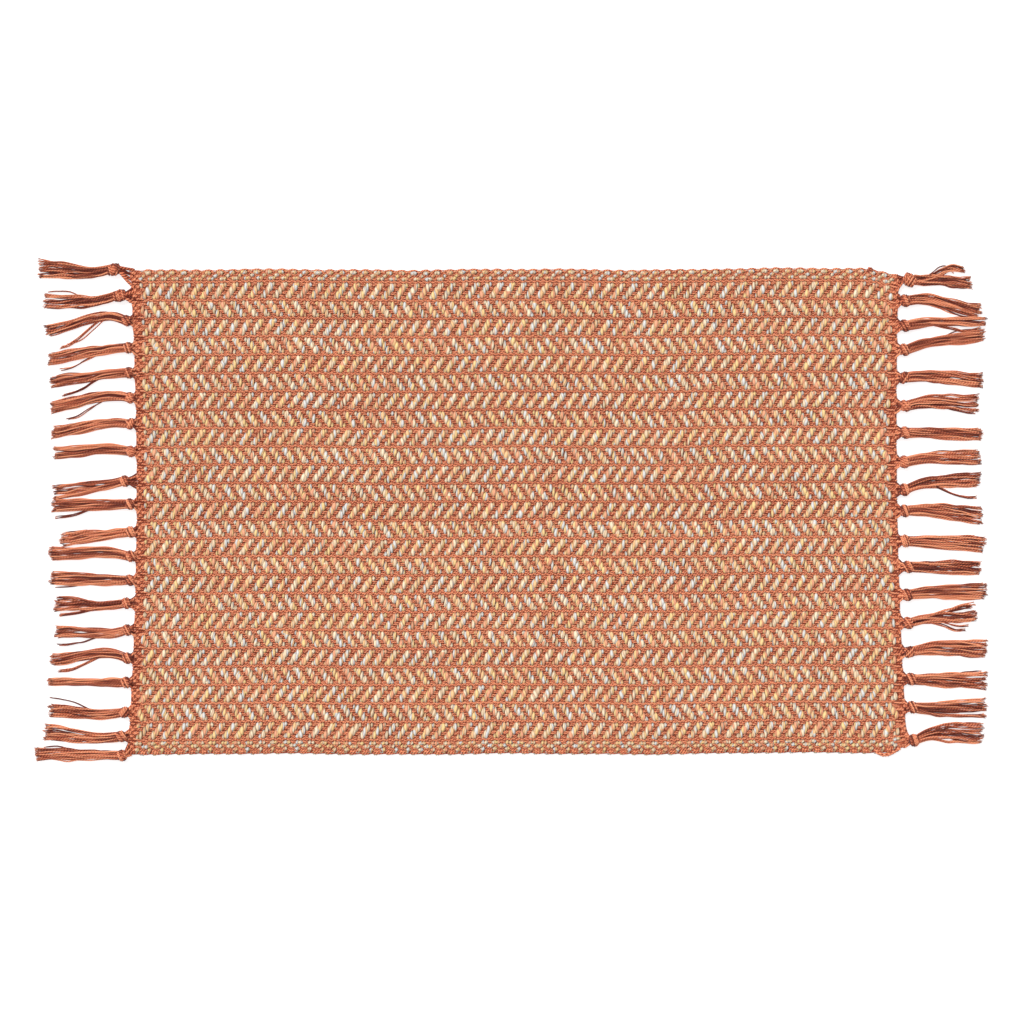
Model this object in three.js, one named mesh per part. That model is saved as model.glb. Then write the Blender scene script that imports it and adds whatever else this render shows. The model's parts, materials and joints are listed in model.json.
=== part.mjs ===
// Flat-woven cotton bath mat with a row of knotted tassels along each short end.
// Millimetres, +Z up. X runs along the mat, Y across it. The origin is on the floor, at the centre
// of the whole mat, tassels included.
import * as THREE from 'three';

// The cloth.
const clothLength = 792; // between the two fringed edges, at their mean
const clothWidth = 504;
const clothThickness = 5;
const clothShift = 7; // the left tassels reach further, so the cloth lies this far towards +X
const leftHeadingWidth = 6.4; // plain-woven strip that locks the cloth at the left fringe
const rightHeadingWidth = 5.6;
const farSelvedgeWidth = 12.5; // edge strip along +Y
const nearSelvedgeWidth = 15; // edge strip along -Y
const seamGap = 0.3; // between strips that touch
const edgeSteps = 12; // straight pieces along a fringed edge

// The tassels.
const neckRadius = 1.5; // the gathered yarns between the heading and the knot
const shortestNeck = 2.6; // lets the knot turn up past the cloth's face
const knotLength = 11;
const knotRadius = 6.4;
const knotHalfHeight = 4.2;
const waistHalfWidth = 4.4; // where the tail leaves the knot
const waistHalfHeight = 3.4;
const tailLength = 74; // the usual tail, from the knot to its tip
const tailHalfHeight = 2.8; // at the tip, as it lies
const floorGap = 0.1;
const tasselSides = 8;

// Each fringed edge: which way it faces, its heading, how far the edge stands out of the straight
// line at its middle, how much more at the far corner than at the near one, and how much more at
// both corners; then how far the end tassels sit in from the corners.
const left = { sign: -1, heading: leftHeadingWidth, middle: -1.6, lean: -1.4, bow: 8, far: 0, near: 0 };
const right = { sign: 1, heading: rightHeadingWidth, middle: -1.8, lean: -4.6, bow: 6, far: 11, near: 15 };

// Every tassel was knotted and lies a little differently. From far to near:
// [along, neck, reach, lean, bow, flare]
// along: its knot's place from even spacing; lean: its tip's place from its knot's; bow: how far the
// tail curves off the straight line; flare: half its width near the tip. These four are shares of
// the tassels' spacing. neck: added to the shortest neck, in mm. reach: share of the usual tail.
const leftTassels = [
  [-0.01, 9.5, 0.97, 0.03, -0.11, 0.33],
  [-0.03, 4.6, 0.99, -0.19, -0.13, 0.32],
  [-0.01, 0.0, 1.04, -0.37, 0.29, 0.25],
  [-0.07, 0.0, 1.01, -0.41, 0.06, 0.27],
  [-0.05, 0.0, 1.0, -0.34, 0.04, 0.27],
  [-0.03, 0.0, 1.01, -0.36, 0.19, 0.28],
  [-0.05, 0.0, 1.0, -0.32, 0.13, 0.26],
  [-0.13, 0.0, 0.97, -0.06, 0.11, 0.26],
  [-0.29, 5.5, 0.9, -0.36, -0.04, 0.31],
  [-0.19, 0.2, 1.0, -0.06, -0.02, 0.3],
  [-0.28, 0.0, 0.88, -0.3, 0.0, 0.27],
  [-0.23, 0.0, 1.05, 0.11, 0.11, 0.26],
  [-0.17, 0.0, 1.01, 0.08, -0.02, 0.33],
  [-0.07, 2.1, 0.91, -0.11, -0.06, 0.3],
  [-0.12, 0.1, 0.92, -0.08, -0.11, 0.26],
  [-0.22, 0.0, 0.96, -0.06, 0.21, 0.28],
  [-0.17, 0.0, 1.0, 0.04, 0.0, 0.17],
  [-0.34, 0.0, 0.96, 0.06, -0.09, 0.26],
  [-0.28, 0.9, 1.0, 0.19, -0.13, 0.3],
  [-0.03, 0.0, 1.13, 0.04, 0.0, 0.29],
];
const rightTassels = [
  [0.0, 1.1, 0.8, 0.04, 0.02, 0.35],
  [0.23, 0.0, 0.96, -0.36, 0.14, 0.24],
  [0.31, 0.0, 1.04, 0.14, 0.09, 0.19],
  [0.42, 0.0, 1.03, 0.55, 0.11, 0.19],
  [0.39, 0.0, 1.0, -0.09, 0.09, 0.28],
  [0.35, 0.7, 0.94, 0.09, 0.11, 0.35],
  [0.36, 0.7, 0.98, -0.05, 0.0, 0.26],
  [0.28, 0.0, 0.97, 0.18, 0.09, 0.28],
  [0.25, 0.0, 0.96, 0.39, 0.14, 0.34],
  [0.47, 0.0, 0.98, -0.14, 0.07, 0.34],
  [0.36, 0.0, 1.02, -0.11, 0.0, 0.32],
  [0.4, 1.1, 0.93, -0.04, 0.0, 0.31],
  [0.37, 0.0, 1.01, 0.14, 0.05, 0.36],
  [0.33, 0.0, 0.87, 0.25, 0.09, 0.42],
  [0.26, 0.0, 1.0, 0.14, 0.11, 0.31],
  [0.26, 0.0, 0.97, -0.04, -0.02, 0.31],
  [0.22, 0.0, 0.95, -0.04, -0.07, 0.35],
  [0.0, 0.0, 0.88, 0.42, 0.12, 0.4],
];

function fabric(color, roughness) {
  return new THREE.MeshStandardMaterial({ color, roughness, metalness: 0 });
}

const fieldYarn = fabric(0xc68d6d, 0.9);
const headingYarn = fabric(0xbe7054, 0.92);
const selvedgeYarn = fabric(0xc47b5a, 0.92);
const tasselYarn = fabric(0xb56e56, 0.9);

const mat = new THREE.Group();

// The x of a fringed edge at a place across the mat.
function edgeX(side, y) {
  const across = y / (clothWidth / 2);
  const out = side.middle + side.lean * across + side.bow * across * across;
  return clothShift + side.sign * (clothLength / 2 + out);
}

// The x of the line where a heading meets the field.
function headingX(side, y) {
  return edgeX(side, y) - side.sign * side.heading;
}

// A flat strip of cloth between two lines along Y, each given as its x at a y.
function addStrip(name, lowX, highX, lowY, highY, material) {
  const outline = new THREE.Shape();
  const yAt = (step) => lowY + ((highY - lowY) * step) / edgeSteps;
  for (let step = 0; step <= edgeSteps; step++) {
    const y = yAt(step);
    if (step === 0) outline.moveTo(highX(y), y);
    else outline.lineTo(highX(y), y);
  }
  for (let step = edgeSteps; step >= 0; step--) {
    outline.lineTo(lowX(yAt(step)), yAt(step));
  }
  outline.closePath();
  const geometry = new THREE.ExtrudeGeometry(outline, { depth: clothThickness, bevelEnabled: false });
  const strip = new THREE.Mesh(geometry, material);
  strip.name = name;
  mat.add(strip);
}

const farY = clothWidth / 2;
const nearY = -clothWidth / 2;
const innerLeft = (y) => headingX(left, y) + seamGap;
const innerRight = (y) => headingX(right, y) - seamGap;

addStrip('woven_field', innerLeft, innerRight,
  nearY + nearSelvedgeWidth + seamGap, farY - farSelvedgeWidth - seamGap, fieldYarn);
addStrip('selvedge_far', innerLeft, innerRight, farY - farSelvedgeWidth, farY, selvedgeYarn);
addStrip('selvedge_near', innerLeft, innerRight, nearY, nearY + nearSelvedgeWidth, selvedgeYarn);
addStrip('heading_left', (y) => edgeX(left, y), (y) => headingX(left, y), nearY, farY, headingYarn);
addStrip('heading_right', (y) => headingX(right, y), (y) => edgeX(right, y), nearY, farY, headingYarn);

// The rings of a tassel's skin, from the hinge line outwards: the rounded end of the neck, the
// neck, the knot, the waist and the tail.
function tasselRings(neck, tail, flare) {
  const knotStart = shortestNeck + neck;
  const knotEnd = knotStart + knotLength;
  const shoulder = 1.3; // how far into the knot its ends are rounded
  const round = Math.SQRT1_2;
  const ring = (along, halfWidth, halfHeight) => ({ along, halfWidth, halfHeight });
  const tailRing = (share, halfWidth) => {
    const halfHeight = waistHalfHeight + (tailHalfHeight - waistHalfHeight) * share;
    return ring(knotEnd + tail * share, halfWidth, halfHeight);
  };
  return [
    ring(-neckRadius, 0, neckRadius),
    ring(-neckRadius * round, neckRadius * round, neckRadius * round),
    ring(0, neckRadius, neckRadius),
    ring(knotStart, neckRadius, neckRadius),
    ring(knotStart + shoulder, knotRadius * round, knotHalfHeight * round),
    ring(knotStart + knotLength / 2, knotRadius, knotHalfHeight),
    ring(knotEnd - shoulder, knotRadius * round, knotHalfHeight * round),
    tailRing(0.02, waistHalfWidth),
    tailRing(0.35, waistHalfWidth + (flare - waistHalfWidth) * 0.7),
    tailRing(0.75, flare),
    tailRing(1, flare * 0.85),
    tailRing(1, 0),
  ];
}

function addTassel(name, side, y, spacing, [, neck, reach, lean, bow, flare]) {
  const tail = tailLength * reach;
  const knotEnd = shortestNeck + neck + knotLength;
  const hingeHeight = clothThickness / 2;
  const rings = tasselRings(neck, tail, flare * spacing);
  const profile = rings.map((ring) => new THREE.Vector2(ring.halfWidth, ring.along));
  const geometry = new THREE.LatheGeometry(profile, tasselSides);
  const place = geometry.attributes.position;
  for (let i = 0; i < place.count; i++) {
    const ring = rings[i % rings.length];
    const share = Math.max(0, (ring.along - knotEnd) / tail);
    const curve = 6.75 * share * (1 - share) ** 2; // rises to 1 a third of the way along the tail
    const centre = (lean * share + bow * curve) * spacing;
    const lift = Math.max(0, ring.halfHeight + floorGap - hingeHeight);
    const squash = ring.halfWidth ? ring.halfHeight / ring.halfWidth : 0;
    place.setXYZ(i,
      side.sign * ring.along,
      centre - side.sign * place.getX(i),
      lift + place.getZ(i) * squash);
  }
  geometry.computeVertexNormals();
  const tassel = new THREE.Mesh(geometry, tasselYarn);
  tassel.name = name;
  tassel.position.set(edgeX(side, y) + side.sign * (neckRadius + seamGap), y, hingeHeight);
  mat.add(tassel);
}

function addFringe(label, side, tassels) {
  const first = farY - side.far;
  const spacing = (first - nearY - side.near) / (tassels.length - 1);
  tassels.forEach((tassel, index) => {
    const y = first + (tassel[0] - index) * spacing;
    const number = String(index + 1).padStart(2, '0');
    addTassel(`tassel_${label}_${number}`, side, y, spacing, tassel);
  });
}

addFringe('left', left, leftTassels);
addFringe('right', right, rightTassels);

export default mat;
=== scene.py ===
import bpy
import bmesh
import json
import math
import numpy as np
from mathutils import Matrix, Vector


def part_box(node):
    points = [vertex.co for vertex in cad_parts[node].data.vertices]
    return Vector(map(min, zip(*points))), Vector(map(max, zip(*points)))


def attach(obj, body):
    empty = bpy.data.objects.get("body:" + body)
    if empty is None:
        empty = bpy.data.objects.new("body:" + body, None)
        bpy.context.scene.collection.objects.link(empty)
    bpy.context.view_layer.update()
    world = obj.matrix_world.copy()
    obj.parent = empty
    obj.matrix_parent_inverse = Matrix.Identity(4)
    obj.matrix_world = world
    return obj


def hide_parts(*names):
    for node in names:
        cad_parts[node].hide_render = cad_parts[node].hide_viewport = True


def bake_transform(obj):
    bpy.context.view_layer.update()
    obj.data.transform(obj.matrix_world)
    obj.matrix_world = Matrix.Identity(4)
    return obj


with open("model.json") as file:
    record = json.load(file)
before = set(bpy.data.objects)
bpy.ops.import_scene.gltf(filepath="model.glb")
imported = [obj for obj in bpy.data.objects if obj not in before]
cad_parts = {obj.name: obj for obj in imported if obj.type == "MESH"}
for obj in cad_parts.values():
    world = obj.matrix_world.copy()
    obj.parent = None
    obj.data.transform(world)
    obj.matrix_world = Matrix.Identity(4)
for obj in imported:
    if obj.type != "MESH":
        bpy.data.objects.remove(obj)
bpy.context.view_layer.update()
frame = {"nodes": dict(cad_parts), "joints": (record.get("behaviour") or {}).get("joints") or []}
mm = 0.001

view = {
    "lens": 85,
    "sensor": 36,
    "width": 1.065,             # metres of floor from side to side
    "x": 0.001,                 # it looks straight down, this far along the mat
}

studio = {
    "floorSize": 40.0,
    "floorTone": (190, 190, 190),
    "floorGlow": 0.7,           # lit from below as well, which keeps shadows on it faint
    "worldStrength": 0.64,
    "keyStrength": 2.2,
    "keyTurn": (44, 0, 218),    # degrees: tipped from straight down, then swung round to far left
    "keySpread": 26,
}


def tone(red, green, blue):     # a paint-chart colour as the shader's linear one
    parts = [c / 255 for c in (red, green, blue)]
    return tuple(c / 12.92 if c <= 0.04045 else ((c + 0.055) / 1.055) ** 2.4 for c in parts) + (1,)


def place(name, data):
    thing = bpy.data.objects.new(name, data)
    bpy.context.scene.collection.objects.link(thing)
    return thing


def makeCamera():
    data = bpy.data.cameras.new("camera")
    data.lens = view["lens"]
    data.sensor_width = view["sensor"]
    data.clip_end = 50
    camera = place("camera", data)
    height = view["width"] * view["lens"] / view["sensor"]
    camera.location = (view["x"], 0, height)
    bpy.context.scene.camera = camera


def makeStudio():
    world = bpy.data.worlds.new("studio")
    world.use_nodes = True
    background = world.node_tree.nodes["Background"]
    background.inputs["Color"].default_value = (1, 1, 1, 1)
    background.inputs["Strength"].default_value = studio["worldStrength"]
    bpy.context.scene.world = world
    bpy.context.scene.view_settings.view_transform = "Standard"

    light = bpy.data.lights.new("key", "SUN")
    light.energy = studio["keyStrength"]
    light.angle = math.radians(studio["keySpread"])
    key = place("key", light)
    tip, lean, swing = (math.radians(a) for a in studio["keyTurn"])
    key.rotation_euler = (tip, lean, swing)

    floorMesh = bpy.data.meshes.new("floor")
    bm = bmesh.new()
    bmesh.ops.create_grid(bm, x_segments=1, y_segments=1, size=studio["floorSize"] / 2)
    bm.to_mesh(floorMesh)
    bm.free()
    floor = place("floor", floorMesh)
    paint = bpy.data.materials.new("floorPaint")
    paint.use_nodes = True
    shader = paint.node_tree.nodes["Principled BSDF"]
    shader.inputs["Base Color"].default_value = tone(*studio["floorTone"])
    shader.inputs["Roughness"].default_value = 0.9
    shader.inputs["Emission Color"].default_value = (1, 1, 1, 1)
    shader.inputs["Emission Strength"].default_value = studio["floorGlow"]
    floorMesh.materials.append(paint)


makeCamera()
makeStudio()
print("camera and studio ready")


# Tones of the coral yarn by how well lit it is: "dark" is painted shade in its grooves and hollows,
# "light" is painted highlight on its crowns, and "middle" lies between them.
cotton = {
    "light": (255, 170, 126),
    "middle": (240, 129, 89),
    "dark": (106, 35, 17),
    "middleAt": 0.66,           # how well lit the yarn is where it shows each tone, up to 1 for light
    "darkAt": 0.12,
    "wear": 0.5,                # how much the shade wanders along a yarn
    "streaks": 0.75,            # and from fibre to fibre
}
slub = {                        # the colours of the weft's strands, four of them at a time
    "apricot": (240, 194, 142),
    "mist": (218, 218, 214),
    "cream": (242, 222, 190),
    "rose": (234, 166, 130),
    "straw": (242, 206, 144),
    "oat": (230, 204, 170),
}
slubYarn = {
    "strands": 4,
    "wander": 0.9,              # how far the strands shift round the yarn
    "colourRun": 32,            # changes of colour in a metre
    # painted shade in the grooves between the strands: its colour, how much of it, and how narrow it is
    "grooveShade": (140, 80, 50),
    "grooveShadeShare": 0.85,
    "grooveEdge": 0.35,         # the smaller, the narrower the grooves
    "streaks": 0.6,
    "brightness": 0.74,
    # painted shade deep in the cloth and painted highlight out on the crowns: the crown with neither, and
    # how strong they are
    "usualCrown": 0.85,
    "depth": 0.8,
}
fibreGrain = {
    "round": 1.6,               # streaks round a yarn
    "along": 420,               # how short they are, to the metre
    "patches": 60,              # slow changes of shade to the metre
    "apart": 311,               # takes each yarn to streaks of its own
    "scale": 1.9,
}


def newNode(tree, kind, **settings):
    node = tree.nodes.new(kind)
    for key, value in settings.items():
        setattr(node, key, value)
    return node


# Joins a value or another node's output to a socket.
def feed(tree, socket, source):
    if isinstance(source, bpy.types.NodeSocket):
        tree.links.new(source, socket)
    else:
        socket.default_value = source


def maths(tree, operation, *sources):
    node = newNode(tree, "ShaderNodeMath", operation=operation)
    for index, source in enumerate(sources):
        feed(tree, node.inputs[index], source)
    return node.outputs[0]


def mixColour(tree, share, first, second, blend="MIX"):
    node = newNode(tree, "ShaderNodeMix", data_type="RGBA", blend_type=blend)
    feed(tree, node.inputs[0], share)
    feed(tree, node.inputs[6], first)
    feed(tree, node.inputs[7], second)
    return node.outputs[2]


def vector(tree, *parts):
    node = newNode(tree, "ShaderNodeCombineXYZ")
    for index, part in enumerate(parts):
        feed(tree, node.inputs[index], part)
    return node.outputs[0]


def noise(tree, where, scale, detail=2.0):
    node = newNode(tree, "ShaderNodeTexNoise", noise_dimensions="3D")
    feed(tree, node.inputs["Vector"], where)
    node.inputs["Scale"].default_value = scale
    node.inputs["Detail"].default_value = detail
    return node.outputs["Fac"]


def newGroup(name, inputs, outputs):
    tree = bpy.data.node_groups.new(name, "ShaderNodeTree")
    for title, kind in inputs:
        tree.interface.new_socket(title, in_out="INPUT", socket_type=kind)
    for title, kind in outputs:
        tree.interface.new_socket(title, in_out="OUTPUT", socket_type=kind)
    return tree, tree.nodes.new("NodeGroupInput"), tree.nodes.new("NodeGroupOutput")


# Loose fibres: a fine streaky grain that runs along a yarn.
def makeFibreGroup():
    number = "NodeSocketFloat"
    tree, given, made = newGroup(
        "fibres",
        [("Around", number), ("Along", number), ("Yarn", number)],
        [("Streak", number), ("Patch", number)],
    )
    turn = maths(tree, "MULTIPLY", given.outputs["Around"], math.tau)
    x = maths(tree, "MULTIPLY", maths(tree, "COSINE", turn), fibreGrain["round"])
    y = maths(tree, "MULTIPLY", maths(tree, "SINE", turn), fibreGrain["round"])
    run = maths(tree, "MULTIPLY", given.outputs["Along"], fibreGrain["along"])
    shift = maths(tree, "MULTIPLY", given.outputs["Yarn"], fibreGrain["apart"])
    streakAt = vector(tree, x, y, maths(tree, "ADD", run, shift))
    feed(tree, made.inputs["Streak"], noise(tree, streakAt, fibreGrain["scale"], 3))
    slow = maths(tree, "MULTIPLY", given.outputs["Along"], fibreGrain["patches"])
    patchAt = vector(tree, shift, slow, 0.0)
    feed(tree, made.inputs["Patch"], noise(tree, patchAt, 1.0, 1))
    return tree


# Plies twisted together: rounded ridges that wind round the yarn. Phase is the place round the
# twisted yarn, and Change counts the changes of colour along it.
def makePlyGroup():
    number = "NodeSocketFloat"
    tree, given, made = newGroup(
        "plies",
        [("Around", number), ("Along", number), ("Yarn", number), ("Plies", number),
         ("Turn Length", number)],
        [("Ridge", number), ("Phase", number), ("Change", number)],
    )
    wound = maths(tree, "DIVIDE", given.outputs["Along"], given.outputs["Turn Length"])
    phase = maths(tree, "ADD", given.outputs["Around"], wound)
    phase = maths(tree, "ADD", phase, given.outputs["Yarn"])
    counted = maths(tree, "MULTIPLY", phase, given.outputs["Plies"])
    ridge = maths(tree, "ABSOLUTE", maths(tree, "SINE", maths(tree, "MULTIPLY", counted, math.pi)))
    feed(tree, made.inputs["Ridge"], ridge)
    feed(tree, made.inputs["Phase"], maths(tree, "FRACT", phase))
    change = maths(tree, "MULTIPLY", given.outputs["Along"], slubYarn["colourRun"])
    feed(tree, made.inputs["Change"], change)
    return tree


fibreGroup = makeFibreGroup()
plyGroup = makePlyGroup()


# The yarn's own coordinates: how far round, how far along in metres, and its random number.
def yarnCoordinates(tree):
    uv = newNode(tree, "ShaderNodeUVMap", uv_map="UVMap")
    split = newNode(tree, "ShaderNodeSeparateXYZ")
    feed(tree, split.inputs[0], uv.outputs[0])
    yarn = newNode(tree, "ShaderNodeAttribute", attribute_name="yarn")
    return split.outputs[0], split.outputs[1], yarn.outputs["Fac"]


# Painted shade and highlight: how far out of the hollows the surface lies, less the usual, times its
# strength, so yarn deep in the hollows is painted darker and yarn out on the crowns paler.
def crownShade(tree, usual, strength):
    paintedLight = newNode(tree, "ShaderNodeAttribute", attribute_name="paintedLight")
    return maths(tree, "MULTIPLY", maths(tree, "SUBTRACT", paintedLight.outputs["Fac"], usual), strength)


def placeGroup(tree, group, **sources):
    node = newNode(tree, "ShaderNodeGroup", node_tree=group)
    for title, source in sources.items():
        feed(tree, node.inputs[title.replace("_", " ")], source)
    return node.outputs


def startYarn(name, plies, turnLength):
    material = bpy.data.materials.new(name)
    material.use_nodes = True
    tree = material.node_tree
    around, along, yarn = yarnCoordinates(tree)
    ply = placeGroup(tree, plyGroup, Around=around, Along=along, Yarn=yarn, Plies=plies,
                     Turn_Length=turnLength)
    fibre = placeGroup(tree, fibreGroup, Around=around, Along=along, Yarn=yarn)
    return material, tree, ply, fibre, yarn


def finishYarn(tree, colour, height, roughness, bumpDepth, sheen):
    shader = tree.nodes["Principled BSDF"]
    feed(tree, shader.inputs["Base Color"], colour)
    feed(tree, shader.inputs["Roughness"], roughness)
    shader.inputs["Sheen Weight"].default_value = sheen
    shader.inputs["Sheen Roughness"].default_value = 0.5
    shader.inputs["Specular IOR Level"].default_value = 0.25
    bump = newNode(tree, "ShaderNodeBump")
    bump.inputs["Strength"].default_value = 1.0
    bump.inputs["Distance"].default_value = bumpDepth
    feed(tree, bump.inputs["Height"], height)
    feed(tree, shader.inputs["Normal"], bump.outputs[0])


def ramp(tree, value, stops, kind="LINEAR"):
    node = newNode(tree, "ShaderNodeValToRGB")
    node.color_ramp.interpolation = kind
    elements = node.color_ramp.elements
    while len(elements) > len(stops):
        elements.remove(elements[-1])
    while len(elements) < len(stops):
        elements.new(1.0)
    for element, (position, colour) in zip(elements, stops):
        element.position = position
        element.color = colour
    feed(tree, node.inputs[0], value)
    return node.outputs["Color"]


# Coral cotton. The grooves between plies get a deep red-brown painted shade, the crowns a pale painted
# highlight.
# Variety is how much one yarn's shade differs from the next one's. Usual is how far out of the hollows a
# yarn has its own shade, and depth is how much painted shade it gets below that and how much painted
# highlight above it.
def coralCotton(name, plies, turnLength, variety, bumpDepth, usual, depth):
    material, tree, ply, fibre, yarn = startYarn(name, plies, turnLength)
    worn = maths(tree, "MULTIPLY", maths(tree, "SUBTRACT", fibre["Patch"], 0.5), cotton["wear"])
    streaky = maths(tree, "MULTIPLY", maths(tree, "SUBTRACT", fibre["Streak"], 0.5), cotton["streaks"])
    each = maths(tree, "MULTIPLY", maths(tree, "SUBTRACT", yarn, 0.5), variety)
    lit = maths(tree, "ADD", maths(tree, "ADD", ply["Ridge"], crownShade(tree, usual, depth)), worn)
    lit = maths(tree, "ADD", maths(tree, "ADD", lit, streaky), each)
    stops = [(cotton["darkAt"], "dark"), (cotton["middleAt"], "middle"), (1.0, "light")]
    colour = ramp(tree, lit, [(at, tone(*cotton[name])) for at, name in stops])
    height = maths(tree, "ADD", ply["Ridge"], maths(tree, "MULTIPLY", fibre["Streak"], 0.5))
    roughness = maths(tree, "SUBTRACT", 0.95, maths(tree, "MULTIPLY", ply["Ridge"], 0.1))
    finishYarn(tree, colour, height, roughness, bumpDepth, 0.2)
    return material


# The thick weft: four soft strands of different colours laid side by side with hardly any twist.
# Further along the yarn the next colour takes the place of one of them.
def slubCotton(name, turnLength, bumpDepth):
    strands = slubYarn["strands"]
    material, tree, ply, fibre, yarn = startYarn(name, strands, turnLength)
    colours = len(slub)
    wander = maths(tree, "MULTIPLY", maths(tree, "SUBTRACT", fibre["Patch"], 0.5), slubYarn["wander"])
    turned = maths(tree, "FRACT", maths(tree, "ADD", ply["Phase"], wander))
    changes = maths(tree, "FLOOR", maths(tree, "ADD", maths(tree, "MULTIPLY", yarn, 60), ply["Change"]))
    chosen = maths(tree, "ADD", maths(tree, "MULTIPLY", turned, strands / colours),
                   maths(tree, "DIVIDE", changes, colours))
    stops = [(index / colours, tone(*value)) for index, value in enumerate(slub.values())]
    strandColour = ramp(tree, maths(tree, "FRACT", chosen), stops, "CONSTANT")
    counted = maths(tree, "MULTIPLY", turned, strands * math.pi)
    ridge = maths(tree, "ABSOLUTE", maths(tree, "SINE", counted))
    # painted shade in the grooves between the strands
    grooveShade = maths(tree, "SUBTRACT", 1.0, maths(tree, "POWER", ridge, slubYarn["grooveEdge"]))
    grooveShadeShare = maths(tree, "MULTIPLY", grooveShade, slubYarn["grooveShadeShare"])
    colour = mixColour(tree, grooveShadeShare, strandColour, tone(*slubYarn["grooveShade"]))
    # fibre streaks, with painted shade deep in the hollows and painted highlight out on the crowns
    streakAndShade = maths(tree, "MULTIPLY_ADD", fibre["Streak"], slubYarn["streaks"], slubYarn["brightness"])
    streakAndShade = maths(tree, "ADD", streakAndShade, crownShade(tree, slubYarn["usualCrown"], slubYarn["depth"]))
    shaded = mixColour(tree, 1.0, colour, streakAndShade, "MULTIPLY")
    height = maths(tree, "ADD", ridge, maths(tree, "MULTIPLY", fibre["Streak"], 0.6))
    finishYarn(tree, shaded, height, 0.9, bumpDepth, 0.2)
    return material


coralWarp = coralCotton("coralWarp", plies=2, turnLength=5.6 * mm, variety=0.35, bumpDepth=0.42 * mm,
                        usual=0.66, depth=1.2)
coralFringe = coralCotton("coralFringe", plies=2, turnLength=6 * mm, variety=1.3, bumpDepth=0.45 * mm,
                          usual=1.0, depth=1.2)
paleWeft = slubCotton("paleWeft", turnLength=110 * mm, bumpDepth=0.35 * mm)
print("materials ready")


clothMiddle = 2.55 * mm         # height above the floor


# Makes one mesh of closed tubes, each from rows of x, y, z and radius in metres. The UV map runs once
# round each tube and along it in metres. "yarn" holds one random number for each tube. A second
# attribute holds the painted light and shade, 1 for lit out on the crowns and 0 for painted shade deep
# inside: it is a row's fifth value, or else the distance above or below the cloth's middle, as a share of
# crownHeight.
def spinYarns(name, yarns, material, section=(1, 1, 1), sides=6, seed=1, crownHeight=1.75 * mm):
    curve = bpy.data.curves.new(name, "CURVE")
    curve.dimensions = "3D"
    curve.bevel_depth = mm      # so a point's radius is in millimetres
    curve.bevel_resolution = (sides - 4) // 2
    for yarn in yarns:
        spline = curve.splines.new("POLY")
        spline.points.add(len(yarn) - 1)
        rows = np.column_stack([yarn[:, :3], np.ones(len(yarn))])
        spline.points.foreach_set("co", rows.ravel())
        spline.points.foreach_set("radius", yarn[:, 3] / mm)
        spline.use_smooth = True
    carrier = place(name + "Curve", curve)
    graph = bpy.context.evaluated_depsgraph_get()
    mesh = bpy.data.meshes.new_from_object(carrier.evaluated_get(graph))
    mesh.name = name
    bpy.data.objects.remove(carrier)
    bpy.data.curves.remove(curve)

    # each ring of the tube is drawn in or out round its own centre
    points = np.concatenate(yarns)
    centres = np.repeat(points[:, :3], sides, axis=0)
    corners = np.zeros(len(mesh.vertices) * 3)
    mesh.vertices.foreach_get("co", corners)
    corners = centres + (corners.reshape(-1, 3) - centres) * np.array(section)
    mesh.vertices.foreach_set("co", corners.ravel())

    reach = np.concatenate([
        np.concatenate([[0], np.cumsum(np.linalg.norm(np.diff(y[:, :3], axis=0), axis=1))]) for y in yarns
    ])
    loops = np.zeros(len(mesh.loops), dtype=np.int32)
    mesh.loops.foreach_get("vertex_index", loops)
    quads = loops.reshape(-1, 4)
    turn = quads % sides
    seam = (turn.max(axis=1) == sides - 1) & (turn.min(axis=1) == 0)
    turn = np.where(seam[:, None] & (turn == 0), sides, turn)
    uv = np.column_stack([turn.ravel() / sides, reach[quads.ravel() // sides]])
    mesh.uv_layers[0].data.foreach_set("uv", uv.ravel())

    random = np.random.RandomState(seed)
    counts = [len(y) * sides for y in yarns]
    label = mesh.attributes.new("yarn", "FLOAT", "POINT")
    label.data.foreach_set("value", np.repeat(random.rand(len(yarns)), counts))
    paintedLight = mesh.attributes.new("paintedLight", "FLOAT", "POINT")
    if points.shape[1] > 4:
        paintedLight.data.foreach_set("value", np.repeat(points[:, 4], sides))
    else:
        paintedLight.data.foreach_set("value", np.clip(np.abs(corners[:, 2] - clothMiddle) / crownHeight, 0, 1))

    bm = bmesh.new()
    bm.from_mesh(mesh)
    bmesh.ops.holes_fill(bm, edges=[e for e in bm.edges if e.is_boundary], sides=0)
    bm.to_mesh(mesh)
    bm.free()
    mesh.materials.append(material)
    return place(name, mesh)


# A slow random wander with no direction, one value for each place in a sorted list.
def slowNoise(random, places, spacing):
    count = max(4, int(abs(places[-1] - places[0]) / spacing) + 3)
    knots = random.randn(count)
    where = np.linspace(0, count - 1, len(places))
    return np.interp(where, np.arange(count), knots)


fieldLow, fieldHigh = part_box("woven_field")
farLow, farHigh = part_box("selvedge_far")
nearLow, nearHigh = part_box("selvedge_near")

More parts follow.
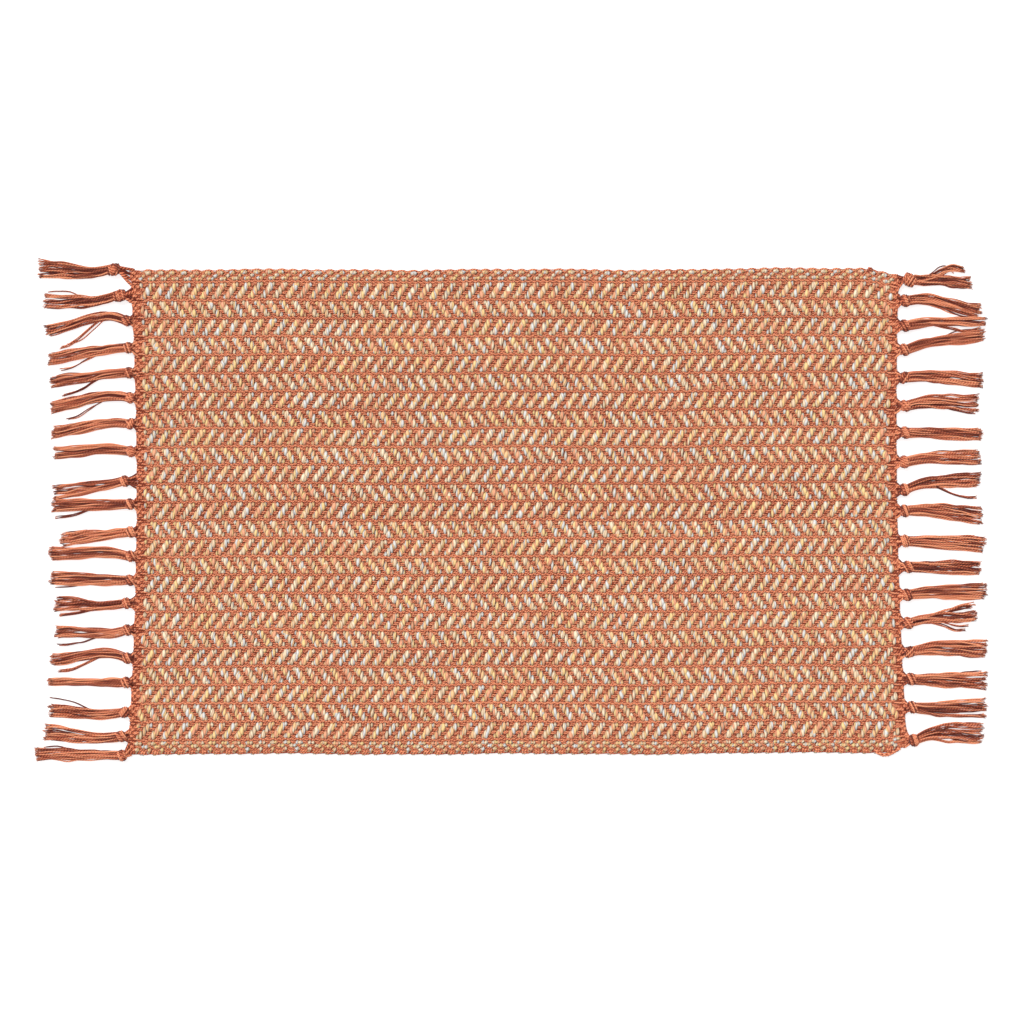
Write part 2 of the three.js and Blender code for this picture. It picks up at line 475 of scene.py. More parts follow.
weave = {
    "bands": 25,
    "pickPitch": 3.1 * mm,
    "pairs": [0.164, 0.391, 0.618, 0.845],  # four pairs of warp ends down each band, as shares of it
    "pairGap": 0.84 * mm,                   # from a pair's middle to each of its two yarns
    "lineGap": 0.52 * mm,                   # the same for the two yarns of a line
    "middle": clothMiddle,
    "weftLift": 1.05 * mm,
    "weftRadius": 1.72 * mm,
    "weftSection": (1.12, 1, 0.82),
    "weftCrown": 2.75 * mm,
    "warpLift": 0.95 * mm,
    "warpRadius": 0.82 * mm,
    "warpSection": (1, 1, 0.95),
    "lineRadius": 0.84 * mm,
    "lean": {"rising": 0.0, "falling": 0.1, "edge": 0.2},   # sideways slant of the weft's floats
    # the selvedges' rows: how far outside the field, and the picks of each four that pass over them
    "farRows": [(9.2 * mm, {2, 3}), (6.2 * mm, {1}), (3.2 * mm, {0, 3})],
    "nearRows": [(3.1 * mm, {0, 1}), (6.4 * mm, {2, 3}), (9.6 * mm, {0})],
    # height and thickness of the weft over a row, over a selvedge's row, between two rows it passes
    # over, on its way down, under a row, and between two rows it passes under
    "weftOver": (1.1, 1.12),
    "weftOverEdge": (1.6, 1.12),
    "weftCrest": (1.35, 1.3),
    "weftSlope": (0.1, 0.7),
    "weftUnder": (-1.0, 0.82),
    "weftTrough": (-1.1, 0.85),
    "floatVariety": 0.15,
    "floatSizes": (0.7, 1.25),
    "edgeFloat": 1.3,                       # a selvedge's floats are fatter by this
    # height and thickness of a warp end by turns, under a pick, and of a line's ends by turns
    "warpOver": [(0.65, 0.85), (1.0, 1.1)],
    "warpUnder": (-1.0, 0.9),
    "lineOver": [(0.1, 0.9), (1.5, 1.1)],
    "pickUneven": 0.05,
    "slubs": 0.09,
    "slubLength": 0.025,
    "slubSizes": (0.78, 1.25),
    "jitter": {"weft": 0.13 * mm, "warp": 0.07 * mm, "edge": 0.1 * mm, "thickness": 0.06},
}
weftTurn = {
    "farReach": 1.5 * mm,
    "nearReach": {True: 5.4 * mm, False: 3.6 * mm},     # longer for the middle two picks of each four
    "together": 0.55 * mm,                  # how far every other two turns lean to each other
    "farThick": 0.8,
    "nearThick": 0.72,
}
heading = {
    "pitch": 3.1 * mm,
    "radius": 0.5 * mm,
    "inset": {-1: -0.9 * mm, 1: 0.5 * mm},      # of the outermost pick from the CAD's edge
    "pairGap": 0.66 * mm,
    "flat": 1.0 * mm,                       # how far each yarn runs level over or under a pick
    "picks": {-1: 3, 1: 2},
    "warpOver": (0.75, 1.3),                # height and thickness of the warp over a pick
    "warpUnder": (0.05, 1.1),
    "settle": {0: 0.6, 1: 0.2},             # how much of its spacing lasts into the field's first picks
    "drawnOut": 1.8 * mm,                   # at a tassel, fading over drawnOver
    "drawnOver": 6 * mm,
    "drawnIn": 0.4 * mm,                    # between two tassels
    "endsIn": 1.2 * mm,
    "steps": 150,
}


# The x of a strip's side at any y, read from the CAD outline.
def sideLine(node, outwards):
    rows = {}
    for vertex in frame["nodes"][node].data.vertices:
        rows.setdefault(round(vertex.co.y, 5), []).append(vertex.co.x * outwards)
    places = sorted(rows)
    return lambda y: np.interp(y, places, [max(rows[p]) * outwards for p in places])


outerLine = {-1: sideLine("heading_left", -1), 1: sideLine("heading_right", 1)}
innerLine = {-1: sideLine("woven_field", -1), 1: sideLine("woven_field", 1)}
hinges = {joint["child"]: joint["pos_m"][:2] for joint in frame["joints"]}
rootY = {
    side: np.array([place[1] for body, place in hinges.items() if label in body])
    for side, label in ((-1, "left"), (1, "right"))
}


def smooth(value):
    value = np.clip(value, 0, 1)
    return value * value * (3 - 2 * value)


# Both right corners are drawn in by the knots nearest them: how far, where along the mat it starts,
# over what length it grows, and the same across the mat.
drawnIn = {
    1: {"pull": 7.5 * mm, "start": 0.360, "run": 0.050, "from": 0.19, "over": 0.06},
    -1: {"pull": 5.5 * mm, "start": 0.388, "run": 0.022, "from": 0.215, "over": 0.035},
}


# Height and wavelength of the ripples in the bands (across the mat) and in the picks (along it).
bandRise = 2.1 * mm
bandRipples = [(0.55 * mm, 0.041), (0.3 * mm, 0.017)]
pickRipples = [(0.8 * mm, 0.05), (0.35 * mm, 0.021)]


# The bands drift a little: they rise towards the right end and ripple on the way.
def drift(x, y):
    rise = bandRise * np.clip(x / 0.4, 0, 1) ** 2
    for way, corner in drawnIn.items():
        along = smooth((x - corner["start"]) / corner["run"])
        rise = rise - way * corner["pull"] * along * smooth((way * y - corner["from"]) / corner["over"])
    (long, longWave), (short, shortWave) = bandRipples
    return rise + long * np.sin(x / longWave + 1.3) + short * np.sin(x / shortWave + y / 0.06)


# Sideways wander of the picks, the same for neighbours.
def sway(x, y):
    (long, longWave), (short, shortWave) = pickRipples
    return long * np.sin(y / longWave + x / 0.13) + short * np.sin(y / shortWave + x / 0.05)


# The rows of warp from the far edge to the near one. Each has its y in the field and in the headings,
# the picks out of each four that pass over it, and which way the floats there slant.
def layOutRows():
    pitch = (fieldHigh.y - fieldLow.y) / weave["bands"]

    def row(y, shows, lean, headingY=None):
        return {"y": y, "shows": shows, "lean": lean, "headingY": y if headingY is None else headingY}

    rows = [row(fieldHigh.y + out, shows, "edge") for out, shows in weave["farRows"]]
    rows.append(row(fieldHigh.y, set(), "line"))
    for band in range(weave["bands"]):
        top = fieldHigh.y - band * pitch
        for index, share in enumerate(weave["pairs"]):
            even = top - (index + 1.5) / 6 * pitch
            if band % 2:
                rows.append(row(top - share * pitch, {(2 + index) % 4, (3 + index) % 4}, "falling", even))
            else:
                rows.append(row(top - share * pitch, {(3 - index) % 4, (4 - index) % 4}, "rising", even))
        rows.append(row(top - pitch, set(), "line"))
    return rows + [row(fieldLow.y - out, shows, "edge") for out, shows in weave["nearRows"]]


rows = layOutRows()
rowY = np.array([row["y"] for row in rows])
pickCount = round(float(innerLine[1](0) - innerLine[-1](0)) / weave["pickPitch"])
pickShares = np.cumsum(1 + weave["pickUneven"] * np.random.RandomState(5).randn(pickCount))
pickShares = (pickShares - 0.5) / (pickShares[-1] + 0.2)


def pickX(share, y):
    left, right = innerLine[-1](y), innerLine[1](y)
    x = left + (right - left) * share
    return x + sway(x, y)


# How far the fringed edge is drawn out at a tassel, and in between two.
def scallop(side, y):
    nearest = np.abs(np.atleast_1d(y)[:, None] - rootY[side][None, :]).min(axis=1)
    return heading["drawnOut"] * np.exp(-(nearest / heading["drawnOver"]) ** 2) - heading["drawnIn"]


def headingX(side, index, y):
    drawn = scallop(side, y) * 0.5 ** index
    return outerLine[side](y) - side * (heading["inset"][side] + index * heading["pitch"] - drawn)


# One pick of weft across every row: rows of y, shift along x, and height and thickness as shares.
def pickPath(pick, random):
    shows = [pick % 4 in row["shows"] for row in rows]
    floats = {}                     # for each row the weft passes over, its float's middle and size
    start = None
    for index in range(len(rows) + 1):
        over = index < len(rows) and shows[index]
        if over and start is None:
            start = index
        if not over and start is not None:
            middle = rowY[start:index].mean()
            size = np.clip(1 + weave["floatVariety"] * random.randn(), *weave["floatSizes"])
            if rows[start]["lean"] == "edge":
                size *= weave["edgeFloat"]
            for covered in range(start, index):
                floats[covered] = (middle, size)
            start = None

    def slant(index, y):
        return weave["lean"][rows[index]["lean"]] * (y - floats[index][0])

    path = []
    for index in range(len(rows)):
        y = rowY[index]
        if shows[index]:
            height, thickness = weave["weftOverEdge" if rows[index]["lean"] == "edge" else "weftOver"]
            path.append((y, slant(index, y), height, thickness * floats[index][1]))
        else:
            path.append((y, 0, *weave["weftUnder"]))
        if index + 1 < len(rows):
            y = (y + rowY[index + 1]) / 2
            if shows[index] and shows[index + 1]:
                height, thickness = weave["weftCrest"]
                path.append((y, slant(index, y), height, thickness * floats[index][1]))
            elif shows[index] or shows[index + 1]:
                over = index if shows[index] else index + 1
                path.append((y, slant(over, y), *weave["weftSlope"]))
            else:
                path.append((y, 0, *weave["weftTrough"]))
    return np.array(path)


def weaveWeft():
    random = np.random.RandomState(11)
    picks = []
    for pick in range(pickCount):
        path = pickPath(pick, random)
        y = path[:, 0]
        x = pickX(pickShares[pick], y) + path[:, 1] + weave["jitter"]["weft"] * random.randn(len(y))
        z = weave["middle"] + weave["weftLift"] * path[:, 2]
        slubs = 1 + weave["slubs"] * slowNoise(random, y, weave["slubLength"])
        slubs = slubs + weave["slubs"] / 3 * random.randn(len(y))
        radius = weave["weftRadius"] * path[:, 3] * np.clip(slubs, *weave["slubSizes"])

        # the yarn turns towards the pick before it or after it at each edge
        half = weave["pickPitch"] / 2
        farTurn = half if pick % 2 == 0 else -half
        together = weftTurn["together"] * np.sign(farTurn) if pick % 4 > 1 else 0
        x[0] += together
        farReach, nearReach = weftTurn["farReach"], weftTurn["nearReach"][pick % 4 in (1, 2)]
        farThick = weave["weftRadius"] * weftTurn["farThick"]
        nearThick = weave["weftRadius"] * weftTurn["nearThick"]
        farRows = [(x[0] + (farTurn - together) * s, y[0] + d * farReach, weave["middle"] + h, farThick)
                   for s, d, h in ((1.0, 1.0, 0), (0.5, 0.9, 0.2 * mm))]
        nearRows = [(x[-1] - farTurn * s, y[-1] - d * nearReach, weave["middle"], nearThick)
                    for s, d in ((0.1, 0.5), (0.5, 0.9), (1.0, 1.0))]
        yarn = np.vstack([farRows, np.column_stack([x, y, z, radius]), nearRows])
        yarn[:, 1] += drift(yarn[:, 0], yarn[:, 1])
        picks.append(yarn)
    pieces = 5
    share = math.ceil(pickCount / pieces)
    return [
        spinYarns(f"weft_{n + 1}", picks[n * share:(n + 1) * share], paleWeft,
                  weave["weftSection"], seed=20 + n, crownHeight=weave["weftCrown"])
        for n in range(pieces)
    ]


def weaveHeading(name, side):
    random = np.random.RandomState(30)
    picks = []
    for index in range(heading["picks"][side]):
        y = np.linspace(farHigh.y - heading["endsIn"], nearLow.y + heading["endsIn"], heading["steps"])
        x = headingX(side, index, y) + 0.08 * mm * random.randn(len(y))
        height = np.full(len(y), weave["middle"])
        picks.append(np.column_stack([x, y + drift(x, y), height, np.full(len(y), heading["radius"])]))
    return spinYarns(name, picks, coralWarp, seed=30)


# Every end of the warp: its y in the field and in the headings, the picks of each four that it dives
# under, its turn in the headings' plain weave, whether it is in a line, and if it leads its pair.
def layOutWarp():
    pitch = (fieldHigh.y - fieldLow.y) / weave["bands"]
    yarns = []
    turn = 0
    for row in rows:
        line = row["lean"] == "line"
        gap = weave["lineGap"] if line else weave["pairGap"]
        headingGap = pitch / 12 if line else heading["pairGap"]
        for lane in (1, -1):
            yarns.append({
                "y": row["y"] + lane * gap,
                "headingY": row["headingY"] + lane * headingGap,
                "shows": row["shows"],
                "turn": turn,
                "line": line,
                "lane": lane > 0,
            })
            turn += 1 if line or lane < 0 else 0
    return yarns


def warpPath(yarn):
    path = []
    spread = yarn["headingY"] - yarn["y"]
    for side in (-1, 1):
        count = heading["picks"][side]
        plain = []
        for step in range(count):
            up = (yarn["turn"] + step) % 2
            x = headingX(side, step, yarn["headingY"])[0]
            for shift in (side, -side):
                plain.append((x + shift * heading["flat"], yarn["headingY"],
                              *heading["warpOver" if up else "warpUnder"]))
        if side < 0:
            path += plain
            for pick in range(pickCount):
                first = (pick + yarn["lane"]) % 2
                height, size = weave["lineOver" if yarn["line"] else "warpOver"][first]
                if pick % 4 in yarn["shows"]:
                    height, size = weave["warpUnder"]
                share = heading["settle"].get(min(pick, pickCount - 1 - pick), 0)
                path.append((pickX(pickShares[pick], yarn["y"]), yarn["y"] + spread * share, height, size))
        else:
            path += plain[::-1]
    return np.array(path)


def weaveWarp():
    random = np.random.RandomState(41)
    yarns = []
    for yarn in layOutWarp():
        path = warpPath(yarn)
        x, y = path[:, 0], path[:, 1]
        radius = weave["lineRadius"] if yarn["line"] else weave["warpRadius"]
        yarns.append(np.column_stack([
            x,
            y + drift(x, y) + weave["jitter"]["warp"] * random.randn(len(x)),
            weave["middle"] + weave["warpLift"] * path[:, 2],
            radius * path[:, 3] * (1 + weave["jitter"]["thickness"] * random.randn(len(x))),
        ]))
    pieces = 4
    share = math.ceil(len(yarns) / pieces)
    return [
        spinYarns(f"warp_{n + 1}", yarns[n * share:(n + 1) * share], coralWarp,
                  weave["warpSection"], sides=4, seed=50 + n)
        for n in range(pieces)
    ]


# The yarns laid along each long edge, each by its distance in from the edge, its radius, how far it
# arches out over the weft's turns and how far it rises and falls.
edgeYarns = {
    "far": [(1.1 * mm, 1.1 * mm, 0.75 * mm, 0.3 * mm)],
    "near": [(1.6 * mm, 1.1 * mm, 0.35 * mm, 0.3 * mm), (3.4 * mm, 1.1 * mm, 0.2 * mm, 0.6 * mm)],
}


def weaveSelvedge(name, edge, inwards, laid, seed):
    random = np.random.RandomState(seed)
    yarns = []
    for offset, radius, arch, lift in laid:
        y = edge + inwards * offset
        xs = [headingX(-1, 0, y)[0], *(pickX(share, y) for share in pickShares), headingX(1, 0, y)[0]]
        xs = np.array(xs)
        count = np.arange(len(xs))
        bow = arch * np.cos((count - 3.5) * math.tau / 4)
        yarns.append(np.column_stack([
            xs,
            y - inwards * bow + drift(xs, y) + weave["jitter"]["edge"] * random.randn(len(xs)),
            weave["middle"] + lift * np.cos((count + 1.0) * math.tau / 4),
            radius * (1 + weave["jitter"]["thickness"] * random.randn(len(xs))),
        ]))
    return spinYarns(name, yarns, coralWarp, seed=seed)


shadedCore = {
    "thickness": 1.0 * mm,
    "sideInset": 1.6 * mm,                  # inside the long edges
    "endInset": 0.7 * mm,                   # inside the outermost picks of the headings
    # dark tones: painted shade in the gaps between crossings
    "shadedTones": [(96, 38, 22), (150, 70, 46)],
}


# A thin core inside the weave, which closes the gaps between crossings. It stands for the yarn beneath,
# and its dark tones are painted shade in those gaps.
def makeCore():
    bm = bmesh.new()
    bmesh.ops.create_grid(bm, x_segments=60, y_segments=40, size=0.5)
    low, high = nearLow.y + shadedCore["sideInset"], farHigh.y - shadedCore["sideInset"]
    for vertex in bm.verts:
        share, across = vertex.co.x + 0.5, vertex.co.y + 0.5
        y = low + (high - low) * across
        left = outerLine[-1](y) + heading["inset"][-1] + shadedCore["endInset"]
        right = outerLine[1](y) - heading["inset"][1] - shadedCore["endInset"]
        x = left + (right - left) * share
        vertex.co = (x, y + drift(x, y), weave["middle"] - shadedCore["thickness"] / 2)
    top = bmesh.ops.extrude_face_region(bm, geom=bm.faces[:])
    raised = [item for item in top["geom"] if isinstance(item, bmesh.types.BMVert)]
    bmesh.ops.translate(bm, verts=raised, vec=(0, 0, shadedCore["thickness"]))
    bmesh.ops.recalc_face_normals(bm, faces=bm.faces[:])
    mesh = bpy.data.meshes.new("cloth_core")
    bm.to_mesh(mesh)
    bm.free()
    mesh.materials.append(coreMaterial())
    return place("cloth_core", mesh)


def coreMaterial():
    material = bpy.data.materials.new("shadedCore")
    material.use_nodes = True
    tree = material.node_tree
    where = newNode(tree, "ShaderNodeTexCoord").outputs["Object"]
    grain = noise(tree, where, 900, 3)
    dark, pale = (tone(*shade) for shade in shadedCore["shadedTones"])
    colour = ramp(tree, grain, [(0.3, dark), (0.7, pale)])
    finishYarn(tree, colour, grain, 0.95, 0.3 * mm, 0.1)
    return material


looseKnot = {
    "x": 0.373,
    "y": 0.2513,
    "raised": 0.6 * mm,
    "turns": 5.5,
    "wide": 2.3 * mm,
    "long": 2.6 * mm,
    "uneven": 0.4 * mm,
    "yarn": 0.95 * mm,
    "steps": 60,
}
looseLoop = {
    "line": [(377, -247), (381, -250.2), (386, -252.3), (392, -252), (398, -249), (404, -245.5)],    # mm
    "raised": 0.8 * mm,
    "turns": 6,
    "ply": 1.15 * mm,
    "plyOff": 1.0 * mm,                     # of each of its two plies from its own line
    "steps": 40,
}


# Two loose ends of the edge yarns: a small knot on the far edge and a twisted loop on the near one.
def makeLooseEnds():
    turn = np.linspace(0, looseKnot["turns"] * math.tau, looseKnot["steps"])
    swing = np.linspace(-1, 1, looseKnot["steps"]) * 0.9
    out = looseKnot["wide"] * np.cos(swing)
    ball = np.column_stack([
        looseKnot["x"] + out * np.cos(turn),
        looseKnot["y"] + looseKnot["long"] * np.sin(swing) + looseKnot["uneven"] * np.sin(turn * 1.7),
        weave["middle"] + looseKnot["raised"] + out * np.sin(turn),
        np.full(len(turn), looseKnot["yarn"]),
    ])
    line = np.array(looseLoop["line"]) * mm
    t = np.linspace(0, 1, looseLoop["steps"])
    where = np.interp(t, np.linspace(0, 1, len(line)), line[:, 0])
    aside = np.interp(t, np.linspace(0, 1, len(line)), line[:, 1])
    plies = []
    for phase in (0, math.pi):
        wound = phase + t * looseLoop["turns"] * math.tau
        plies.append(np.column_stack([
            where,
            aside + looseLoop["plyOff"] * np.cos(wound),
            weave["middle"] + looseLoop["raised"] + looseLoop["plyOff"] * np.sin(wound),
            np.full(len(t), looseLoop["ply"]),
        ]))
    return spinYarns("loose_ends", [ball, *plies], coralFringe, seed=71)


core = makeCore()
wefts = weaveWeft()
print("weft woven", pickCount, "picks")
warps = weaveWarp()
print("warp woven", len(rows), "rows")
headings = [weaveHeading("heading_weft_left", -1), weaveHeading("heading_weft_right", 1)]
edges = [
    weaveSelvedge("edge_yarns_far", farHigh.y, -1, edgeYarns["far"], 61),
    weaveSelvedge("edge_yarns_near", nearLow.y, 1, edgeYarns["near"], 62),
]
looseEnds = makeLooseEnds()
print("headings and edges woven")


# One row for each tassel, from the far edge to the near one, all in millimetres: neck is how far the
# knot stands off beyond the shortest, lean is where the tip lies from the knot, bow how far the tail
# curves off its straight line, flare half its width near the tip. Knot is a longer knot's share of
# the usual length. Cords is how many thick cords a long neck parts into. Loose ones are strands that
# part from the tail: how many, how much shorter, how far aside at the tip, and how far aside midway.
leftFringe = [
    dict(neck=8.2, lean=0.8, bow=-3, flare=9.6, knot=1.6, cords=4),
    dict(neck=3.4, lean=-5, bow=-3.5, flare=8.6, knot=1.6, cords=5, loose=[(1, 3, 8.5, 10)]),
    dict(neck=0.4, lean=-9.8, bow=7.6, flare=6, loose=[(3, 14, -17, -7), (1, 20, -14, -12)]),
    dict(neck=0, lean=-11, bow=1.5, flare=7.3, loose=[(2, 10, -12, -5)]),
    dict(neck=0, lean=-9, bow=1, flare=6.5, loose=[(3, 12, -14, -4), (1, 5, 6, 4)]),
    dict(neck=0, lean=-9.5, bow=5, flare=7, loose=[(2, 17, -12, -6)]),
    dict(neck=0, lean=-8.5, bow=3.5, flare=6.5, loose=[(1, 6, 7, 5)]),
    dict(neck=0, lean=-1.5, bow=3, flare=6.8),
    dict(neck=6.3, lean=-11, bow=-1, flare=8.6),
    dict(neck=1, lean=-1.5, bow=-0.5, flare=7, loose=[(3, 3, -12, -5)]),
    dict(neck=0.2, lean=-8, bow=0, flare=7, loose=[(1, 4, 8, 6)]),
    dict(neck=0, lean=3, bow=3, flare=6.8),
    dict(neck=0, lean=2, bow=-0.5, flare=8.4, loose=[(1, 4, -8.5, -6)]),
    dict(neck=2.9, lean=-3, bow=-1.5, flare=5.6, loose=[(6, 0, 8, 3), (4, 3, -9, -4)]),
    dict(neck=0.9, lean=-2, bow=-3, flare=6.6, loose=[(2, 2, -13, -6)]),
    dict(neck=0, lean=-1.5, bow=5.5, flare=6.4, loose=[(4, 5, -12, -7)]),
    dict(neck=0, lean=1, bow=0, flare=4.2),
    dict(neck=0, lean=1.5, bow=-2.5, flare=6.6, loose=[(1, 1, 13, 6)]),
    dict(neck=1.7, lean=5, bow=-3.5, flare=8, loose=[(2, 4, -9, -5)]),
    dict(neck=0, lean=1, bow=0, flare=7.6, loose=[(1, 8, 8, 6)]),
]
rightFringe = [
    dict(neck=0.2, lean=-2, bow=0.5, flare=6, knot=1.6,
         loose=[(12, 7, 12.5, 13), (1, 14, 11, 22), (4, 0, -5, -5)]),
    dict(neck=0, lean=-10, bow=4, flare=6.6, loose=[(2, 3, -6, -14)]),
    dict(neck=0, lean=4, bow=2.5, flare=5.4, loose=[(3, 2, -7, -12)]),
    dict(neck=0, lean=15.5, bow=3, flare=6, loose=[(1, 6, 6, 8), (1, 2, -6, -9)]),
    dict(neck=0, lean=-2.5, bow=2.5, flare=7.6),
    dict(neck=1.5, lean=2.5, bow=3, flare=9, loose=[(2, 3, -9, -5)]),
    dict(neck=1.5, lean=-1.5, bow=0, flare=7),
    dict(neck=0, lean=5, bow=2.5, flare=7.6),
    dict(neck=0, lean=11, bow=4, flare=7.6, loose=[(3, 5, -19, -8)]),
    dict(neck=0, lean=-4, bow=2, flare=9.2),
    dict(neck=0, lean=-3, bow=0, flare=8.6, loose=[(1, 8, 8, 6)]),
    dict(neck=1.9, lean=-1, bow=0, flare=8.4),
    dict(neck=0, lean=4, bow=1.5, flare=9.2, loose=[(1, 5, -9, -6)]),
    dict(neck=0, lean=7, bow=2.5, flare=7, loose=[(6, 2, 11, 5), (5, 10, -12, -5)]),
    dict(neck=0, lean=4, bow=3, flare=9.4),
    dict(neck=0.3, lean=-1, bow=-0.5, flare=9, loose=[(1, 4, 9, 6)]),
    dict(neck=0, lean=-1, bow=-2, flare=10.6),
    dict(neck=0, lean=8.5, bow=5, flare=13, loose=[(4, 5, -10, -6), (2, 2, 9, 7)]),
]
tassel = {
    "radius": 0.68 * mm,
    "strands": {-1: 25, 1: 29},
    "clump": 3.2,               # strands that cling together
    "clumpRadius": 0.72 * mm,
    "clumpTurns": 0.9,
    "steps": 20,
    "neckYarns": 8,
    "neckRadius": 1.0 * mm,
    "neckStart": {-1: 0.6 * mm, 1: 0.5 * mm},       # from the hinge to the knot
    "knotLength": 9.6 * mm,
    "knotRadius": 5.7 * mm,
    "knotRise": 3.35 * mm,      # half the knot's height
    "knotHeight": 4.55 * mm,    # of its middle above the floor
    "knotYarn": 0.84 * mm,
    "knotPitch": 1.8,           # from yarn to yarn, in radii
    # its two ribbons: how far each is turned, how many yarns wide it is, and its girth
    "ribbons": [(0.5, 5.4, 1.0), (-0.7, 4.2, 0.92)],
    "waist": 4.2 * mm,
    "fan": 8.4 * mm,            # half the width of warp that one knot gathers
    "size": {-1: 1.0, 1: 1.12},             # of knots and waists, left and right
    "spread": {-1: 1.25, 1: 1.7},           # how soon the tail reaches its full width
    "waves": 0.55 * mm,         # how far a clump wanders
    "stray": 0.26 * mm,         # and a strand in it
    "tailRise": 2.3 * mm,       # half the tail's height at the knot, and how much lower it is at the tip
    "tailSink": 0.9 * mm,
    "cordSize": 1.6,            # a cord's radius, in neck yarns
}


# Warp ends that leave the heading side by side and run together into the knot.
def neckYarns(side, x, y, knotStart, random, fan, inwards, cords):
    yarns = []
    count = cords or tassel["neckYarns"]
    t = np.linspace(0, 1, 8)
    for index in range(count):
        aside = index / (count - 1) * 2 - 1
        begin = x - side * 4.6 * mm
        stop = x + side * (knotStart + 3 * mm)
        draw = 0.55 * t + 0.45 * smooth(t * 1.1)
        rowX = begin + (stop - begin) * t ** 0.85
        rowY = y + inwards * (1 - draw) + aside * (fan * (1 - draw) + 2.4 * mm * draw)
        raised = 0.5 + 0.5 * math.cos(index * 2.1)
        rise = raised * 1.6 * mm
        rowZ = weave["middle"] - 0.6 * mm + rise * np.sin(t * math.pi) + 2.2 * mm * smooth(t * 1.4 - 0.2)
        rowY = rowY + 0.2 * mm * random.randn(len(t))
        radius = np.full(len(t), tassel["neckRadius"] * (tassel["cordSize"] if cords else 1))
        # the fifth value is painted light: raised yarns lit, lower ones in painted shade
        yarns.append(np.column_stack([rowX, rowY, rowZ, radius, 0.3 + 0.65 * raised + 0 * t]))
    return yarns


# An overhand knot: one ribbon of yarns wound across another, and a core to fill it.
def knotYarns(side, x, y, long, random):
    yarns = []
    size = tassel["size"][side]
    tilt = 1 if random.rand() < 0.7 else -1
    pitch = tassel["knotPitch"] * tassel["knotYarn"]
    for turn, width, girth in tassel["ribbons"]:
        lanes = round(width * long)
        turn = turn * tilt + 0.12 * random.randn()
        c, s = math.cos(turn), math.sin(turn)
        for lane in range(lanes):
            off = lane - (lanes - 1) / 2
            drop = 1 - 0.3 * abs(off / (lanes / 2)) ** 2.2
            angle = np.linspace(-math.pi * 0.95, math.pi * 0.95, 15) + math.pi / 2
            wide = tassel["knotRadius"] * size * girth * drop * np.cos(angle)
            tall = tassel["knotRise"] * girth * drop * np.sin(angle)
            shift = 0.2 * mm * random.randn()
            rowX = x + side * (off * pitch * c) - wide * s + shift
            rowY = y + off * pitch * s * side + wide * c
            rowZ = tassel["knotHeight"] + tall
            radius = np.full(len(angle), tassel["knotYarn"])
            # painted light: the knot's top and bottom lit, its sides and outer lanes in painted shade
            paintedLight = (0.45 + 0.55 * np.abs(np.sin(angle))) * (0.6 + 0.4 * drop) * girth
            yarns.append(np.column_stack([rowX, rowY, rowZ, radius, paintedLight]))
    steps = np.linspace(-1, 1, 9)
    bulge = np.sqrt(np.clip(1 - steps ** 2, 0.02, 1)) * tassel["knotRise"] * 0.9
    # the core fills the knot, painted in full shade
    for lane in (-1, 0, 1):
        yarns.append(np.column_stack([
            x + steps * tassel["knotLength"] * long * 0.4, np.full(9, y + lane * 2.1 * mm),
            np.full(9, tassel["knotHeight"]), bulge * (1 if lane == 0 else 0.85), np.zeros(9)]))
    return yarns


def tailCentre(t, lean, bow):
    return lean * t + bow * 6.75 * t * (1 - t) ** 2


# The tail's strands cling together in clumps of three or so, which lie side by side, by turns high
# and low, follow the tail's own line and end unevenly.
def tailYarns(side, x, y, tail, style, random):
    yarns = []
    t = np.linspace(0, 1, tassel["steps"])
    loose = style.get("loose", [])
    kept = tassel["strands"][side] - min(9, sum(group[0] for group in loose))
    flare = (style["flare"] - 1.0) * mm
    turn = 0.3 * random.randn()
    low = tassel["radius"] + 0.15 * mm
    waist = tassel["waist"] * tassel["size"][side]
    line = tailCentre(t, style["lean"] * mm, style["bow"] * mm)
    tall = tassel["tailRise"] - tassel["tailSink"] * smooth(t * 1.4)
    middle = low + tall + (tassel["knotHeight"] - low - tall) * (1 - smooth(t * 4))
    for number, (count, shorter, aside, midway) in enumerate([(kept, 0, 0, 0), *loose]):
        width = flare if number == 0 else min(flare * 0.6, (0.4 + 0.6 * count) * mm)
        wide = waist + (width - waist) * (0.35 * t + 0.65 * smooth(t * tassel["spread"][side]))
        part = smooth(t * 1.2 - 0.1) * (aside * t + midway * 2.2 * t * (1 - t)) * mm
        clumps = max(1, round(count / tassel["clump"]))
        for clump in range(clumps):
            length = tail * (1 - 0.05 * random.rand()) - shorter * mm
            across = (clump + 0.5) / clumps * 2 - 1 + 0.1 * random.randn() * t
            above = (0.45 if clump % 2 else -0.45) + 0.15 * random.randn() + turn * across * t
            waves = tassel["waves"] * slowNoise(random, t, 0.22) * smooth(t * 3)
            members = range(clump, count, clumps)
            begin, turns = random.rand() * math.tau, tassel["clumpTurns"] * (0.6 + 0.8 * random.rand())
            for member in range(len(members)):
                twist = begin + (member / len(members) + turns * t) * math.tau
                off = tassel["clumpRadius"] * min(1, (len(members) - 1) * 0.8) * (1 + 0.5 * t)
                out = np.hypot(across + off / wide * np.cos(twist), above + off / tall * np.sin(twist))
                rowX = x + side * ((length - 2.6 * mm * random.rand()) * t - 2.5 * mm * (1 - t))
                rowY = y + line + part + wide * across + off * np.cos(twist) + waves
                rowY = rowY + tassel["stray"] * slowNoise(random, t, 0.16)
                rowZ = middle + tall * above + off * 0.8 * np.sin(twist)
                rough = 1 + 0.08 * slowNoise(random, t, 0.15)
                radius = tassel["radius"] * rough * (0.92 + 0.16 * random.rand())
                radius[-1] *= 0.75
                # painted light: strands out on the tail's surface lit, inner ones in painted shade
                paintedLight = np.clip(out, 0.35, 1)
                yarns.append(np.column_stack([rowX, rowY, np.maximum(rowZ, low), radius, paintedLight]))
                yarns += frayYarns(yarns[-1], random)
    return yarns


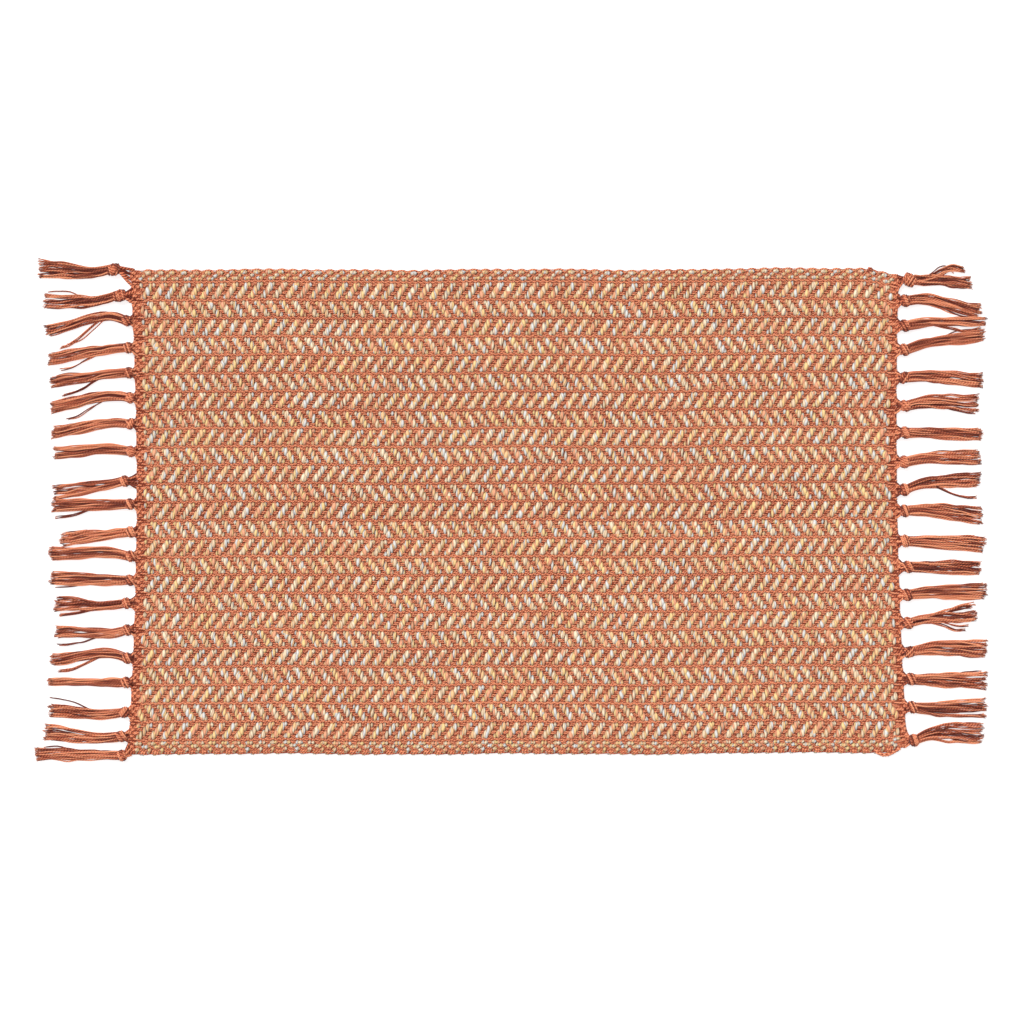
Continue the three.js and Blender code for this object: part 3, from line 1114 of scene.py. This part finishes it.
# The last few millimetres of a strand, where its plies part.
def frayYarns(strand, random):
    made = []
    tip, before = strand[-1, :3], strand[-2, :3]
    ahead = (tip - before) / np.linalg.norm(tip - before)
    for way in (-1, 1):
        reach = (1.2 + 2.2 * random.rand()) * mm
        path = tip + np.outer(np.array([-0.5, 0.3, 1.0]) * reach, ahead)
        path[:, 1] += way * (0.2 + 0.45 * random.rand()) * mm * np.array([0.3, 0.7, 1.6])
        path[:, 2] = np.maximum(path[:, 2] + 0.3 * mm * random.randn(), 0.5 * mm)
        # their last value is painted light, a little short of full
        made.append(np.column_stack([path, np.array([0.4, 0.36, 0.2]) * mm, np.full(3, 0.8)]))
    return made


def makeTassel(label, number, side, style):
    body = f"fringe_{label}_{number:02d}"
    node = f"tassel_{label}_{number:02d}"
    random = np.random.RandomState(1000 + number + (500 if side > 0 else 0))
    x, y = hinges[body]
    low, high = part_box(node)
    tip = high.x if side > 0 else low.x
    long = style.get("knot", 1.0)
    knotStart = tassel["neckStart"][side] + style["neck"] * mm
    knotLength = tassel["knotLength"] * tassel["size"][side] * long
    knotX = x + side * (knotStart + knotLength / 2)
    tailX = x + side * (knotStart + knotLength - 1 * mm)
    nearest = np.sort(np.abs(rootY[side] - y))[1]
    fan = min(tassel["fan"], nearest / 2 - 1.2 * mm)
    edge = min(farHigh.y + drift(x, farHigh.y) - y, y - nearLow.y - drift(x, nearLow.y))
    inwards = (1 if y < 0 else -1) * max(0, fan - edge)
    yarns = neckYarns(side, x, y, knotStart, random, fan, inwards, style.get("cords"))
    yarns += knotYarns(side, knotX, y, long, random)
    yarns += tailYarns(side, tailX, y, abs(tip - tailX), style, random)
    piece = spinYarns(node.replace("tassel", "knotted"), yarns, coralFringe, seed=number)
    return {"piece": piece, "body": body, "node": node, "side": side, "x": x}


fringe = []
for label, side, styles in (("left", -1, leftFringe), ("right", 1, rightFringe)):
    for number, style in enumerate(styles, 1):
        fringe.append(makeTassel(label, number, side, style))
print("tassels knotted", len(fringe))


clothPieces = [core, *wefts, *warps, *headings, *edges, looseEnds]
for piece in clothPieces:
    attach(piece, "mat")
for made in fringe:
    x, side = made["x"], made["side"]
    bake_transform(made["piece"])
    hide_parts(made["node"])

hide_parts("woven_field")
for piece, node in zip(headings, ("heading_left", "heading_right")):
    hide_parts(node)
for piece, node in zip(edges, ("selvedge_far", "selvedge_near")):
    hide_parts(node)
